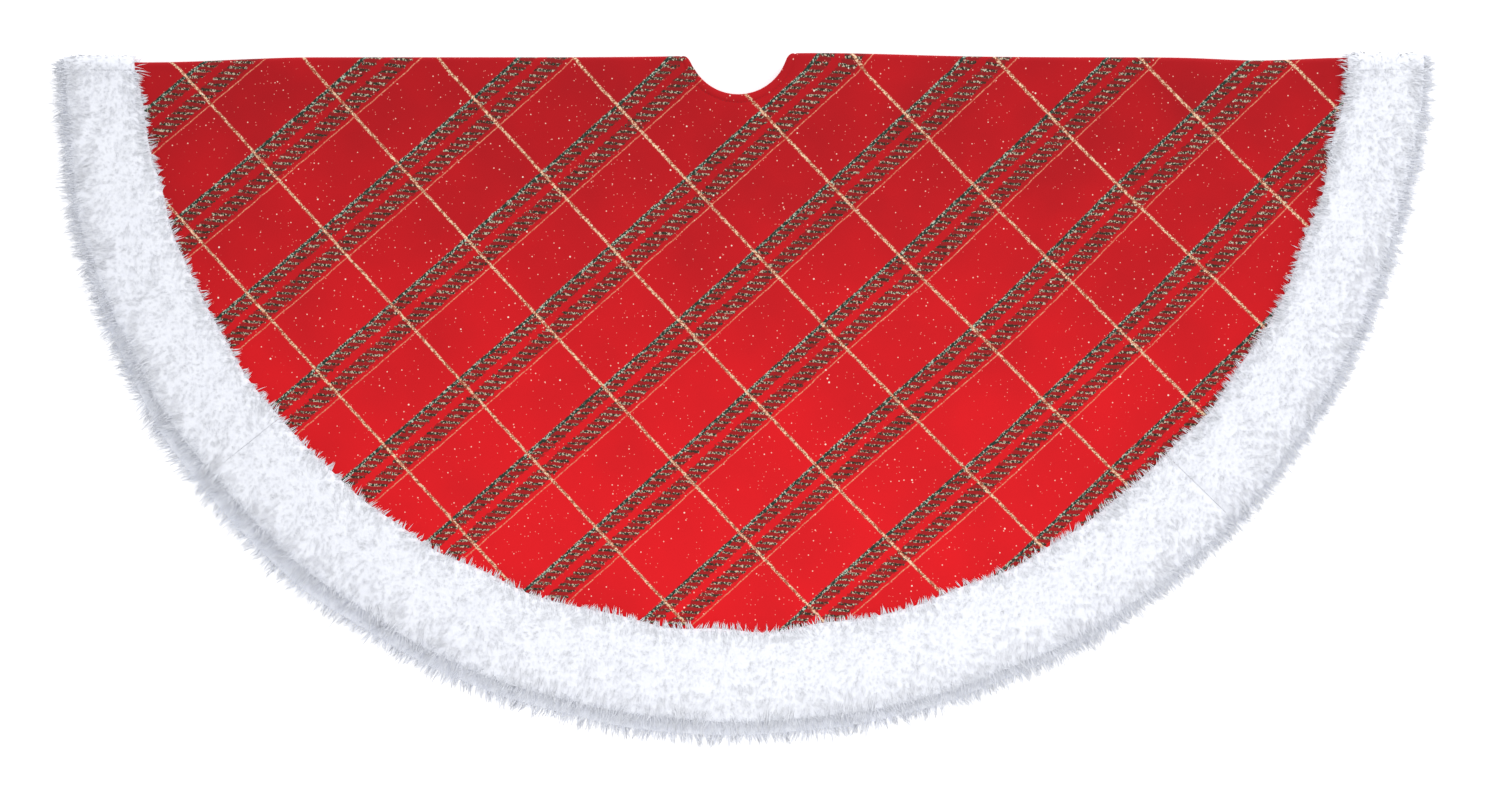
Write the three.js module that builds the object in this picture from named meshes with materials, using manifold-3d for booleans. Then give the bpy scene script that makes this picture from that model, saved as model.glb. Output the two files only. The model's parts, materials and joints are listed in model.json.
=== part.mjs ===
// Round fabric tree skirt with a faux-fur border, folded in half and lying flat, face side out.
// Millimetres, +Z up. The fold line runs along X at the +Y side, and the border curves towards -Y.
// Origin: centre of the bounding box in X and Y, on the surface that the folded skirt lies on.
// The front half is the upper layer. The back half is the lower layer, split by a slit into a left and a
// right quarter, and each quarter opens about the fold line.

import * as THREE from 'three';
import { mergeVertices } from 'three/addons/utils/BufferGeometryUtils.js';
import Module from 'manifold-3d';

// Driving dimensions
const SKIRT_RADIUS = 610;        // 48 inch skirt, to the nominal edge of the fur
const DEPTH_RATIO = 0.98;        // the skirt lies a little wider along the fold than across it
const FUR_WIDTH = 82;
const HOLE_RADIUS = 44.5;        // round hole for the trunk
const HOLE_X = -6;               // the hole and the slit are a little left of the middle
const FOLD_OFFSET = 10.7;        // the fold passes this far from the centre, so the back half reaches further
const LAYER_HEIGHT = 14;         // one whole layer, fur included
const SLIT_WIDTH = 3;            // gap between the two edges of the slit
const STRIP_JOINS = [219.3, 315.2]; // degrees round the front half where the three fur strips are joined

// Cloth, in order from the lining outwards, measured from the plane between the two layers
const LINING = { low: 1.0, high: 1.8 };
const TAPE = { low: 2.1, high: 2.7 };
const FACE = { low: 3.0, high: 4.0 };
const FUR = { low: 2.1, lip: 0.5, high: LAYER_HEIGHT, cornerWide: 14, cornerTall: 7 };

// Clearances
const GAP = 0.3;                 // between touching meshes
const FOLD_CLEARANCE = 0.4;      // from each layer's edge to the hinge line

// Sewn details
const LIP_RADIUS = 600.5;        // the fur turns down round the lining's edge outside this radius
const NECK_TAPE_WIDTH = 22;
const SLIT_TAPE_WIDTH = 25;
const SEAM_SETBACK = 2;          // stay tapes stop this far inside the finished edges
const CLOSURE = { width: 25, length: 60, thickness: 1.2, count: 3, first: 90, spacing: 165 };

const FUR_INNER = SKIRT_RADIUS - FUR_WIDTH;
const FOLD_Y = DEPTH_RATIO * (SKIRT_RADIUS + FOLD_OFFSET + FOLD_CLEARANCE) / 2;
const FOLD_Z = LAYER_HEIGHT;
const RING_STEPS = 120;          // segments in the fur ring's full turn
const CORNER_STEPS = 4;          // in each rounded corner of the fur's section

const wasm = await Module();
wasm.setup();

const radians = (degrees) => THREE.MathUtils.degToRad(degrees);

// The two halves, measured from the fold line. curveSteps sets how finely a cloth piece's arcs are divided.
const FRONT = { layer: 1, centreY: FOLD_OFFSET, curveSteps: 24 };
const BACK = { layer: -1, centreY: -FOLD_OFFSET, curveSteps: 12 };

const rimCircle = (half, radius) => ({ x: 0, y: half.centreY, radius });
const holeCircle = (half, radius) => ({ x: HOLE_X, y: half.centreY, radius });

// Each edge of a sector is a function from a circle to the angle at which that circle meets the edge
const foldEdge = (side) => (circle) => {
  const tilt = Math.asin((FOLD_CLEARANCE + circle.y) / circle.radius);
  return side < 0 ? Math.PI + tilt : 2 * Math.PI - tilt;
};
const slitEdge = (side) => (circle) =>
  1.5 * Math.PI + Math.asin((HOLE_X + side * SLIT_WIDTH / 2 - circle.x) / circle.radius);
const joinEdge = (degrees, side) => (circle) =>
  radians(degrees) + side * Math.asin(GAP / 2 / circle.radius);

function sectorShape(inner, outer, startEdge, endEdge) {
  const at = (circle, angle) =>
    [circle.x + circle.radius * Math.cos(angle), circle.y + circle.radius * Math.sin(angle)];
  const arc = (circle, from, to, clockwise) =>
    shape.absarc(circle.x, circle.y, circle.radius, from(circle), to(circle), clockwise);
  const shape = new THREE.Shape();
  shape.moveTo(...at(inner, startEdge(inner)));
  shape.lineTo(...at(outer, startEdge(outer)));
  arc(outer, startEdge, endEdge, false);
  shape.lineTo(...at(inner, endEdge(inner)));
  arc(inner, endEdge, startEdge, true);
  shape.closePath();
  return shape;
}

// A flat piece between two distances from the plane between the layers
function slab(shape, half, { low, high }) {
  const geometry = new THREE.ExtrudeGeometry(shape, {
    depth: high - low,
    bevelEnabled: false,
    curveSegments: half.curveSteps,
  });
  geometry.translate(0, 0, half.layer > 0 ? low : -high);
  return geometry;
}

function toManifold(geometry) {
  const bare = new THREE.BufferGeometry();
  bare.setAttribute('position', geometry.getAttribute('position'));
  bare.setIndex(geometry.getIndex());
  const merged = mergeVertices(bare, 1e-4);
  const vertProperties = new Float32Array(merged.getAttribute('position').array);
  const triVerts = new Uint32Array(merged.getIndex().array);
  return new wasm.Manifold(new wasm.Mesh({ numProp: 3, vertProperties, triVerts }));
}

function fromManifold(solid) {
  const mesh = solid.getMesh();
  const geometry = new THREE.BufferGeometry();
  geometry.setAttribute('position', new THREE.BufferAttribute(mesh.vertProperties, 3));
  geometry.setIndex(new THREE.BufferAttribute(mesh.triVerts, 1));
  return geometry;
}

// Cross-section of the fur band: flat underneath, rounded over, with a lip round the lining's edge
function furProfile() {
  const points = [
    new THREE.Vector2(FUR_INNER, FUR.low),
    new THREE.Vector2(LIP_RADIUS, FUR.low),
    new THREE.Vector2(LIP_RADIUS, FUR.lip),
    new THREE.Vector2(SKIRT_RADIUS, FUR.lip),
  ];
  const shoulder = FUR.high - FUR.cornerTall;
  for (let i = 0; i <= CORNER_STEPS; i += 1) {
    const angle = (Math.PI / 2) * (i / CORNER_STEPS);
    points.push(new THREE.Vector2(
      SKIRT_RADIUS - FUR.cornerWide * (1 - Math.cos(angle)),
      shoulder + FUR.cornerTall * Math.sin(angle),
    ));
  }
  for (let i = CORNER_STEPS; i >= 0; i -= 1) {
    const angle = (Math.PI / 2) * (i / CORNER_STEPS);
    points.push(new THREE.Vector2(
      FUR_INNER + FUR.cornerWide * (1 - Math.cos(angle)),
      shoulder + FUR.cornerTall * Math.sin(angle),
    ));
  }
  points.push(points[0].clone());
  return points;
}

function furRing(half) {
  const ring = new THREE.LatheGeometry(furProfile(), RING_STEPS);
  ring.rotateX(half.layer * Math.PI / 2);
  ring.translate(0, half.centreY, 0);
  return toManifold(ring);
}

const furRings = new Map([FRONT, BACK].map((half) => [half, furRing(half)]));

function furStrip(half, startEdge, endEdge) {
  const margin = 20;
  const inner = rimCircle(half, FUR_INNER - margin);
  const outer = rimCircle(half, SKIRT_RADIUS + margin);
  const cutter = slab(
    sectorShape(inner, outer, startEdge, endEdge),
    half,
    { low: 0, high: LAYER_HEIGHT + margin },
  );
  return fromManifold(furRings.get(half).intersect(toManifold(cutter)));
}

const MATERIALS = {
  plaid: { color: 0xd2202c, roughness: 0.75 },
  lining: { color: 0xc4303a, roughness: 0.8 },
  tape: { color: 0xf2f0ee, roughness: 0.85 },
  fur: { color: 0xf0edf4, roughness: 0.95 },
  hook: { color: 0xe8e6e2, roughness: 0.6 },
  loop: { color: 0xe8e6e2, roughness: 0.9 },
};

const skirt = new THREE.Group();
skirt.position.set(0, FOLD_Y, FOLD_Z);
skirt.scale.set(1, DEPTH_RATIO, 1);

function add(name, look, geometry) {
  const material = new THREE.MeshStandardMaterial({ ...MATERIALS[look], metalness: 0 });
  const mesh = new THREE.Mesh(geometry, material);
  mesh.name = name;
  skirt.add(mesh);
}

// Face, lining and neck tape of one body, between its two edges
function addCloth(names, half, startEdge, endEdge) {
  const piece = (inner, outer, span) =>
    slab(sectorShape(inner, outer, startEdge, endEdge), half, span);
  const hole = holeCircle(half, HOLE_RADIUS);
  add(names.face, 'plaid', piece(hole, rimCircle(half, FUR_INNER - GAP), FACE));
  add(names.lining, 'lining', piece(hole, rimCircle(half, LIP_RADIUS - 2 * GAP), LINING));
  const tapeInner = holeCircle(half, HOLE_RADIUS + SEAM_SETBACK);
  const tapeOuter = holeCircle(half, tapeInner.radius + NECK_TAPE_WIDTH);
  add(names.neckTape, 'tape', piece(tapeInner, tapeOuter, TAPE));
}

// The tape that stiffens one edge of the slit, from the neck tape to the fur
function slitTape(side) {
  const low = HOLE_RADIUS + SEAM_SETBACK + NECK_TAPE_WIDTH + SEAM_SETBACK;
  const high = FUR_INNER - SEAM_SETBACK;
  const centreX = HOLE_X + side * (SLIT_WIDTH / 2 + SEAM_SETBACK + SLIT_TAPE_WIDTH / 2);
  const tape = new THREE.BoxGeometry(SLIT_TAPE_WIDTH, high - low, TAPE.high - TAPE.low);
  tape.translate(centreX, BACK.centreY - (low + high) / 2, -(TAPE.low + TAPE.high) / 2);
  return tape;
}

// One hook or loop piece of the closure; bottom is its lower face, from the plane between the layers
function closurePiece(side, index, bottom) {
  const piece = new THREE.BoxGeometry(CLOSURE.width, CLOSURE.length, CLOSURE.thickness);
  const centreX = HOLE_X + side * (SLIT_WIDTH / 2 + SEAM_SETBACK + CLOSURE.width / 2);
  const radius = HOLE_RADIUS + CLOSURE.first + index * CLOSURE.spacing;
  piece.translate(centreX, BACK.centreY - radius, bottom + CLOSURE.thickness / 2);
  return piece;
}

function addFrontHalf() {
  const left = foldEdge(-1);
  const right = foldEdge(1);
  addCloth(
    { face: 'front_face_panel', lining: 'front_lining', neckTape: 'front_neck_tape' },
    FRONT,
    left,
    right,
  );
  const [firstJoin, lastJoin] = STRIP_JOINS;
  add('left_fur_strip_front', 'fur', furStrip(FRONT, left, joinEdge(firstJoin, -1)));
  add('middle_fur_strip', 'fur', furStrip(FRONT, joinEdge(firstJoin, 1), joinEdge(lastJoin, -1)));
  add('right_fur_strip_front', 'fur', furStrip(FRONT, joinEdge(lastJoin, 1), right));
}

function addBackQuarter(word, side) {
  const edges = side < 0
    ? [foldEdge(side), slitEdge(side)]
    : [slitEdge(side), foldEdge(side)];
  addCloth(
    { face: `${word}_face_panel`, lining: `${word}_lining`, neckTape: `${word}_neck_tape` },
    BACK,
    ...edges,
  );
  add(`${word}_slit_tape`, 'tape', slitTape(side));
  add(`${word}_fur_strip_back`, 'fur', furStrip(BACK, ...edges));
}

// Hooks lie on the left edge's lining side, loops on the right edge's face side
function addClosures() {
  for (let i = 0; i < CLOSURE.count; i += 1) {
    add(`hook_tape_${i + 1}`, 'hook', closurePiece(-1, i, -LINING.low + GAP));
    add(`loop_tape_${i + 1}`, 'loop', closurePiece(1, i, -FACE.high - GAP - CLOSURE.thickness));
  }
}

addFrontHalf();
addBackQuarter('left', -1);
addBackQuarter('right', 1);
addClosures();

export default skirt;
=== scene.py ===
"""Tree skirt, folded in half and lying flat: plaid cloth, lining, faux-fur border and slit closure.

Metres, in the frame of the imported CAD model. Points are named by (u, v), their place in the unfolded
skirt from its centre, and t, their distance from the plane between the two layers, so the same functions
make the front half and the back half.
"""
import json
import math

import bpy
import numpy as np
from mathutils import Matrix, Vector


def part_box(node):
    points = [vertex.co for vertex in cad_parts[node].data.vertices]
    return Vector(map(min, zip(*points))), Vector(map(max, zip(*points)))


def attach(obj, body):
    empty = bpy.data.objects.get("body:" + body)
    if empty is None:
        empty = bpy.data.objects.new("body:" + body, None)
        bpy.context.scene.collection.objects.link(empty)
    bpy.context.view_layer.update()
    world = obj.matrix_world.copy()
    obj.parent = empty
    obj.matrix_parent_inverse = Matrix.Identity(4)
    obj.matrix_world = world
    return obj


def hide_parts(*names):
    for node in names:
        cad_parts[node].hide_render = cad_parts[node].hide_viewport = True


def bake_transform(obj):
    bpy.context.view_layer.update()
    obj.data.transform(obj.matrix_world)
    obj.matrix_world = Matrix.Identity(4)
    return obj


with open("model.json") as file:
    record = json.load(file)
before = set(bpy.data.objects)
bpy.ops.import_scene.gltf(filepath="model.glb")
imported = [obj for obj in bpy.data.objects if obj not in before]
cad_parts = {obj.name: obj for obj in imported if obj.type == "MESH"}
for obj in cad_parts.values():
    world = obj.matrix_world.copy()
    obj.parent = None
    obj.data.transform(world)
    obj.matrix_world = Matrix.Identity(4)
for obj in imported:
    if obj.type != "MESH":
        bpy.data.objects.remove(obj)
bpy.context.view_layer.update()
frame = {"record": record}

# ---- dimensions
MM = 0.001
HINGE = frame["record"]["behaviour"]["joints"][0]["pos_m"]
FOLD_Y, FOLD_Z = HINGE[1], HINGE[2]
RIM = max(-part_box("left_fur_strip_back")[0][0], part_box("right_fur_strip_back")[1][0])
DEPTH_RATIO = 0.98                 # the skirt lies a little wider along the fold than across it
FOLD_OFFSET = 10.7 * MM            # from the skirt's centre to the fold
FUR_INNER = RIM - 82 * MM
HOLE = 44.5 * MM
HOLE_X = -6 * MM
SLIT = 3 * MM
JOINS = (219.3, 315.2)             # degrees, where the fur strips meet

FACE_RADIUS = FUR_INNER + 17 * MM  # the face runs on under the fur's inner edge
LINING_RADIUS = RIM - 27 * MM      # the lining's edge is tucked into the fur that wraps it
HEM = 7.5 * MM                     # from a finished edge to its stitching
TAPE_IN = 2 * MM                   # from a finished edge to a stay tape, hook or loop piece
NECK_TAPE, SLIT_TAPE = 22 * MM, 25 * MM

LINING_T = (1.0 * MM, 1.8 * MM)    # lower and upper height of each cloth, and of the stay tapes between
FACE_T = (3.0 * MM, 4.0 * MM)
TAPE_T = (2.1 * MM, 2.7 * MM)

FOLD_REACH = 12 * MM               # how far the pieces that bend at the fold run into each half
CLOTH_ROLL = 2.8 * MM              # how far inside the fold the cloth starts to curve over it
FUR_ROLL = 6.8 * MM                # and the fur
CLUMP = 7.5 * MM                   # the pile's locks stand about this far apart
STRAND_ROOT = 2.0 * MM             # how far below the dense base's surface the loose strands start
STRAND_PITCH = 2.0 * MM
STRAND_LENGTH = (11.5, 16.0)       # mm

FRAME_WIDTH = 1.3365               # metres across the picture, at the height of the fold
FRAME_CENTRE = (0.0045, -0.0026)

FRONT, BACK = 1, -1
BODY = {"front": "front_half", "left": "left_back_quarter", "right": "right_back_quarter"}


def smooth(x):
    x = np.clip(x, 0, 1)
    return x * x * (3 - 2 * x)


def rounded(x):
    """1 at x = 0, falling along a quarter circle to 0 at x = 1 and beyond."""
    return 1 - np.sqrt(1 - np.clip(1 - x, 0, 1) ** 2)


# ---- camera, lights
def make_camera():
    """It looks straight down."""
    camera = bpy.data.cameras.new("camera")
    camera.lens = 135
    camera.clip_end = 50
    ob = bpy.data.objects.new("camera", camera)
    bpy.context.scene.collection.objects.link(ob)
    distance = FRAME_WIDTH * camera.lens / camera.sensor_width
    ob.location = (*FRAME_CENTRE, FOLD_Z + distance)
    bpy.context.scene.camera = ob


def area_light(name, place, target, size, power, colour):
    light = bpy.data.lights.new(name, "AREA")
    light.shape = "DISK"
    light.size = size
    light.energy = power
    light.color = colour
    ob = bpy.data.objects.new(name, light)
    bpy.context.scene.collection.objects.link(ob)
    ob.location = place
    ob.visible_camera = False
    ob.rotation_euler = (Vector(target) - ob.location).to_track_quat("-Z", "Y").to_euler()


def make_lights():
    area_light("key", (0.06, -0.36, 0.80), (0.06, -0.34, 0), 0.7, 1.1, (1.0, 0.99, 0.98))
    area_light("rim", (1.7, 2.7, 2.3), (0, 0, 0), 2.6, 55, (0.98, 0.985, 1.0))
    world = bpy.data.worlds.new("studio")
    world.use_nodes = True
    background = world.node_tree.nodes["Background"]
    background.inputs["Color"].default_value = (0.95, 0.96, 1.0, 1)
    background.inputs["Strength"].default_value = 0.81
    bpy.context.scene.world = world
    bpy.context.scene.view_settings.view_transform = "Standard"


# ---- materials
class Graph:
    """A material's node tree, with short calls for the nodes that its pattern needs."""

    def __init__(self, name):
        self.material = bpy.data.materials.new(name)
        self.material.use_nodes = True
        self.tree = self.material.node_tree
        self.shader = self.tree.nodes["Principled BSDF"]

    def node(self, kind, **settings):
        made = self.tree.nodes.new("ShaderNode" + kind)
        for key, value in settings.items():
            setattr(made, key, value)
        return made

    def put(self, value, socket):
        if isinstance(value, bpy.types.NodeSocket):
            self.tree.links.new(value, socket)
        else:
            socket.default_value = value

    def math(self, operation, *values):
        made = self.node("Math", operation=operation)
        for value, socket in zip(values, made.inputs):
            self.put(value, socket)
        return made.outputs[0]

    def plus(self, a, b):
        return self.math("ADD", a, b)

    def minus(self, a, b):
        return self.math("SUBTRACT", a, b)

    def times(self, a, b):
        return self.math("MULTIPLY", a, b)

    def weave(self, x, y, period):
        """Threads over and under each other, from -1 to 1."""
        warp = self.math("SINE", self.times(x, 2 * math.pi / period))
        weft = self.math("SINE", self.times(y, 2 * math.pi / period))
        return self.times(warp, weft)

    def step(self, value, low, high):
        """0 where value is under low and 1 where it is over high, or the other way round."""
        made = self.node("MapRange", interpolation_type="SMOOTHSTEP")
        self.put(value, made.inputs["Value"])
        rising = low < high
        for name, limit in (("From Min", min(low, high)), ("From Max", max(low, high)),
                            ("To Min", 0 if rising else 1), ("To Max", 1 if rising else 0)):
            made.inputs[name].default_value = limit
        return made.outputs["Result"]

    def mix(self, factor, a, b):
        made = self.node("Mix", data_type="RGBA")
        self.put(factor, made.inputs["Factor"])
        self.put(a, made.inputs["A"])
        self.put(b, made.inputs["B"])
        return made.outputs["Result"]

    def noise(self, vector, scale, detail=2.0):
        made = self.node("TexNoise")
        self.put(vector, made.inputs["Vector"])
        made.inputs["Scale"].default_value = scale
        made.inputs["Detail"].default_value = detail
        return made.outputs["Fac"]

    def cells(self, vector, scale):
        """Distance to the nearest of a scatter of points, and a random number for each point's cell."""
        made = self.node("TexVoronoi")
        self.put(vector, made.inputs["Vector"])
        made.inputs["Scale"].default_value = scale
        split = self.node("SeparateColor")
        self.put(made.outputs["Color"], split.inputs["Color"])
        return made.outputs["Distance"], split.outputs["Red"], split.outputs["Green"]

    def bump(self, height, distance, strength=1.0):
        made = self.node("Bump")
        self.put(height, made.inputs["Height"])
        made.inputs["Distance"].default_value = distance
        made.inputs["Strength"].default_value = strength
        self.put(made.outputs["Normal"], self.shader.inputs["Normal"])

    def set(self, **values):
        for key, value in values.items():
            self.put(value, self.shader.inputs[key.replace("_", " ")])


def cloth_vector(graph):
    """The unfolded skirt's own coordinates in millimetres, as a vector and as x and y."""
    uv = graph.node("UVMap", uv_map="Cloth")
    scale = graph.node("VectorMath", operation="SCALE")
    graph.put(uv.outputs["UV"], scale.inputs[0])
    scale.inputs["Scale"].default_value = 1000
    split = graph.node("SeparateXYZ")
    graph.put(scale.outputs["Vector"], split.inputs["Vector"])
    return scale.outputs["Vector"], split.outputs["X"], split.outputs["Y"]


# The plaid: gold lines one way, and bands the other, each a green line, two dashed stripes and a thin line
GOLD_PERIOD, GOLD_ANGLE, GOLD_START = 90.6, 43.3, 4.2465   # mm, degrees of the lines' normal, periods
BAND_PERIOD, BAND_ANGLE, BAND_START = 88.7, -47.9, 3.1194
GREEN_TO_THIN = 32.5               # mm across a band
STRIPES = ((1.4, 10.0), (16.6, 28.8))
DASH_PERIOD = 5.5
PULL = (7.0, -2.4)                 # mm that the print strays at the lower right
BOW = 18.9 / 550 ** 2              # the print curves: this much a square millimetre, up at both ends
GREEN_LINE, THIN_LINE, GOLD_LINE = 1.45, 0.40, 1.1    # mm, half of each line's width
GLINTING_SPECKS = (                         # glitter specks on the red, their pale colours painted glints: cells a millimetre, radius in cells, share of the cells, colour
    (0.27, 0.14, 0.64, (0.90, 0.32, 0.24, 1)),
    (0.15, 0.110, 0.62, (0.98, 0.62, 0.48, 1)),
    (0.070, 0.066, 0.50, (1.0, 0.90, 0.74, 1)),
)


def print_lines(g, x, y, wobble, grain):
    """Distances in mm from the gold, green and thin lines, and how far across a band a point is."""
    pulled = g.times(g.step(x, 70, 260), g.step(y, -90, -260))
    x_print = g.minus(x, g.times(pulled, PULL[0]))
    y_print = g.minus(y, g.times(pulled, PULL[1]))
    bow = g.times(g.times(x, x), BOW)
    bowed = g.minus(g.plus(y_print, wobble), bow)

    def phase(period, angle, start, offset):
        along_x = g.times(x_print, math.cos(math.radians(angle)) / period)
        along_y = g.times(bowed, math.sin(math.radians(angle)) / period)
        periods = g.plus(g.plus(along_x, along_y), start)
        return g.math("FRACT", g.plus(periods, offset))

    ragged = g.times(g.minus(grain, 0.5), 3.2)
    from_gold = g.math("ABSOLUTE", g.minus(phase(GOLD_PERIOD, GOLD_ANGLE, GOLD_START, 0.5), 0.5))
    to_gold = g.plus(g.times(from_gold, GOLD_PERIOD), ragged)
    across = g.times(phase(BAND_PERIOD, BAND_ANGLE, BAND_START, GREEN_TO_THIN / BAND_PERIOD), BAND_PERIOD)
    to_green = g.plus(g.math("MINIMUM", across, g.minus(BAND_PERIOD, across)), ragged)
    to_thin = g.math("ABSOLUTE", g.minus(across, GREEN_TO_THIN))
    return to_gold, to_green, to_thin, across


def print_dashes(g, vector, x, y, wobble, grain, across):
    """How far a point is in a dashed stripe, and in one of the stripe's rows of dashes, each 0 to 1."""
    edge = g.plus(across, g.times(g.minus(g.noise(vector, 0.35), 0.5), 7))
    first, second = (g.times(g.step(edge, low - 0.5, low + 0.5), g.step(edge, high + 0.5, high - 0.5))
                     for low, high in STRIPES)
    row = g.math("DIVIDE", g.plus(g.plus(y, g.times(x, 0.07)), wobble), DASH_PERIOD)
    row_distance = g.math("ABSOLUTE", g.minus(g.math("FRACT", row), 0.5))
    thickness = g.plus(0.06, g.times(grain, 0.31))
    return g.plus(first, second), g.step(g.minus(row_distance, thickness), 0.05, -0.05)


def plaid():
    g = Graph("plaid_cloth")
    vector, x, y = cloth_vector(g)
    wobble = g.times(g.minus(g.noise(vector, 0.09), 0.5), 2.4)
    glitter_distance, glitter, hue = g.cells(vector, 0.95)
    grain = g.noise(vector, 1.3, 1.0)
    to_gold, to_green, to_thin, across = print_lines(g, x, y, wobble, grain)
    stripes, in_row = print_dashes(g, vector, x, y, wobble, grain, across)

    def line(distance, half_width):
        return g.step(distance, half_width + 0.35, half_width - 0.25)

    dash = g.times(g.times(stripes, in_row), g.step(glitter, 0.08, 0.14))
    green, gold = line(to_green, GREEN_LINE), line(to_gold, GOLD_LINE)
    thin = g.times(line(to_thin, THIN_LINE), g.step(grain, 0.25, 0.60))

    # Half of this mix is painted light: the red is painted darker near the fold and lighter up to 420 mm from
    # it, standing in for light falling off towards the fold. The other half is a broad random mottle.
    shade = g.plus(g.times(g.noise(vector, 0.012, 3.0), 0.5),
                   g.times(g.step(g.math("ABSOLUTE", y), 0, 420), 0.5))
    weave = g.noise(vector, 2.4, 1.0)
    red = g.mix(shade, (0.30, 0.0050, 0.0090, 1), (0.93, 0.0090, 0.0145, 1))
    red = g.mix(g.times(weave, 0.30), red, (0.38, 0.005, 0.008, 1))
    colour = g.mix(g.times(stripes, 0.70), red, (0.20, 0.012, 0.012, 1))

    # The glitter in the lines is print, and the pale colours of its cells are painted glints of its flakes.
    dark = g.mix(hue, (0.012, 0.020, 0.012, 1), (0.050, 0.030, 0.014, 1))
    dash_colour = g.mix(g.step(glitter, 0.70, 0.86), dark, (0.56, 0.48, 0.34, 1))
    green_colour = g.mix(g.step(glitter, 0.66, 0.92), (0.014, 0.036, 0.024, 1), (0.50, 0.60, 0.46, 1))
    thin_colour = g.mix(glitter, (0.55, 0.08, 0.05, 1), (0.88, 0.46, 0.26, 1))
    gold_colour = g.mix(g.step(glitter, 0.25, 0.90), (0.36, 0.08, 0.035, 1), (0.98, 0.70, 0.44, 1))
    for mask, look in ((dash, dash_colour), (green, green_colour), (thin, thin_colour), (gold, gold_colour)):
        colour = g.mix(mask, colour, look)
    # Glitter specks on the red ground: real flakes, painted pale as glints.
    for scale, radius, share, look in GLINTING_SPECKS:
        distance, chance, _ = g.cells(vector, scale)
        glinting_speck = g.times(g.step(distance, radius, radius * 0.6), g.step(chance, share, share - 0.02))
        colour = g.mix(g.times(glinting_speck, 0.88), colour, look)

    lines = g.math("MAXIMUM", dash, g.math("MAXIMUM", green, gold))
    raised = g.times(lines, g.step(glitter_distance, 0.7, 0.0))
    g.bump(g.plus(g.times(weave, 0.35), raised), 0.25 * MM, 0.6)
    g.set(Base_Color=colour, Roughness=g.minus(0.78, g.times(lines, 0.35)),
          Specular_IOR_Level=0.16, Sheen_Weight=0.03, Sheen_Roughness=0.5)
    return g.material


def lining():
    g = Graph("lining_cloth")
    vector, x, y = cloth_vector(g)
    weave = g.weave(x, y, 0.9)
    shade = g.plus(g.times(weave, 0.18), g.noise(vector, 0.02, 4.0))
    g.bump(g.plus(weave, g.times(g.noise(vector, 0.05, 3.0), 4)), 0.1 * MM, 0.5)
    g.set(Base_Color=g.mix(shade, (0.36, 0.010, 0.018, 1), (0.50, 0.020, 0.030, 1)),
          Roughness=g.plus(0.52, g.times(weave, 0.06)),
          Sheen_Weight=0.1, Sheen_Roughness=0.4)
    return g.material


def fur(name, tip, root, bump):
    """tip and root are the fur's colour at its surface, and a darker, bluer colour painted into the gaps
    between its locks as painted shade.
    """
    g = Graph(name)
    place = g.node("TexCoord").outputs["Object"]
    broad = g.noise(place, 14, 3.0)
    fine = g.noise(place, 240, 2.0)
    height = g.plus(g.times(broad, 0.3), g.times(fine, 0.7))
    if bump:
        g.bump(height, 1.5 * MM, 0.8)
    # The low places of the noise take the root colour: painted shade for the gaps between the locks.
    g.set(Base_Color=g.mix(g.step(height, 0.30, 0.62), root, tip), Roughness=0.85,
          Specular_IOR_Level=0.15, Sheen_Weight=0.25, Sheen_Roughness=0.6,
          Sheen_Tint=(0.95, 0.96, 1.0, 1))
    return g.material


def woven_tape(name, light, dark, period, roughness):
    g = Graph(name)
    place = g.node("TexCoord").outputs["Object"]
    split = g.node("SeparateXYZ")
    g.put(place, split.inputs["Vector"])
    weave = g.weave(split.outputs["X"], split.outputs["Y"], period)
    shade = g.plus(g.times(weave, 0.3), g.noise(place, 300, 2.0))
    g.bump(weave, 0.12 * MM, 0.6)
    g.set(Base_Color=g.mix(shade, dark, light), Roughness=roughness, Sheen_Weight=0.1)
    return g.material


def thread():
    g = Graph("sewing_thread")
    place = g.node("TexCoord").outputs["Object"]
    twist = g.math("SINE", g.times(g.noise(place, 900, 1.0), 30))
    g.bump(twist, 0.05 * MM, 0.5)
    g.set(Base_Color=g.mix(g.noise(place, 500), (0.30, 0.008, 0.012, 1), (0.48, 0.016, 0.022, 1)),
          Roughness=0.45, Specular_IOR_Level=0.4)
    return g.material


PLAID = plaid()
LINING = lining()
# The second colour of each fur is painted shade for the gaps between its locks.
FUR_PILE = fur("faux_fur_pile", (0.94, 0.955, 0.99, 1), (0.91, 0.925, 0.975, 1), False)
FUR_BASE = fur("faux_fur_base", (0.935, 0.95, 0.985, 1), (0.90, 0.915, 0.965, 1), True)
TAPE = woven_tape("stay_tape", (0.84, 0.83, 0.80, 1), (0.66, 0.65, 0.62, 1), 0.8 * MM, 0.85)
HOOK = woven_tape("hook_tape", (0.80, 0.79, 0.76, 1), (0.62, 0.61, 0.58, 1), 1.1 * MM, 0.5)
LOOP = woven_tape("loop_tape", (0.82, 0.81, 0.79, 1), (0.66, 0.65, 0.63, 1), 0.7 * MM, 0.95)
THREAD = thread()


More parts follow.
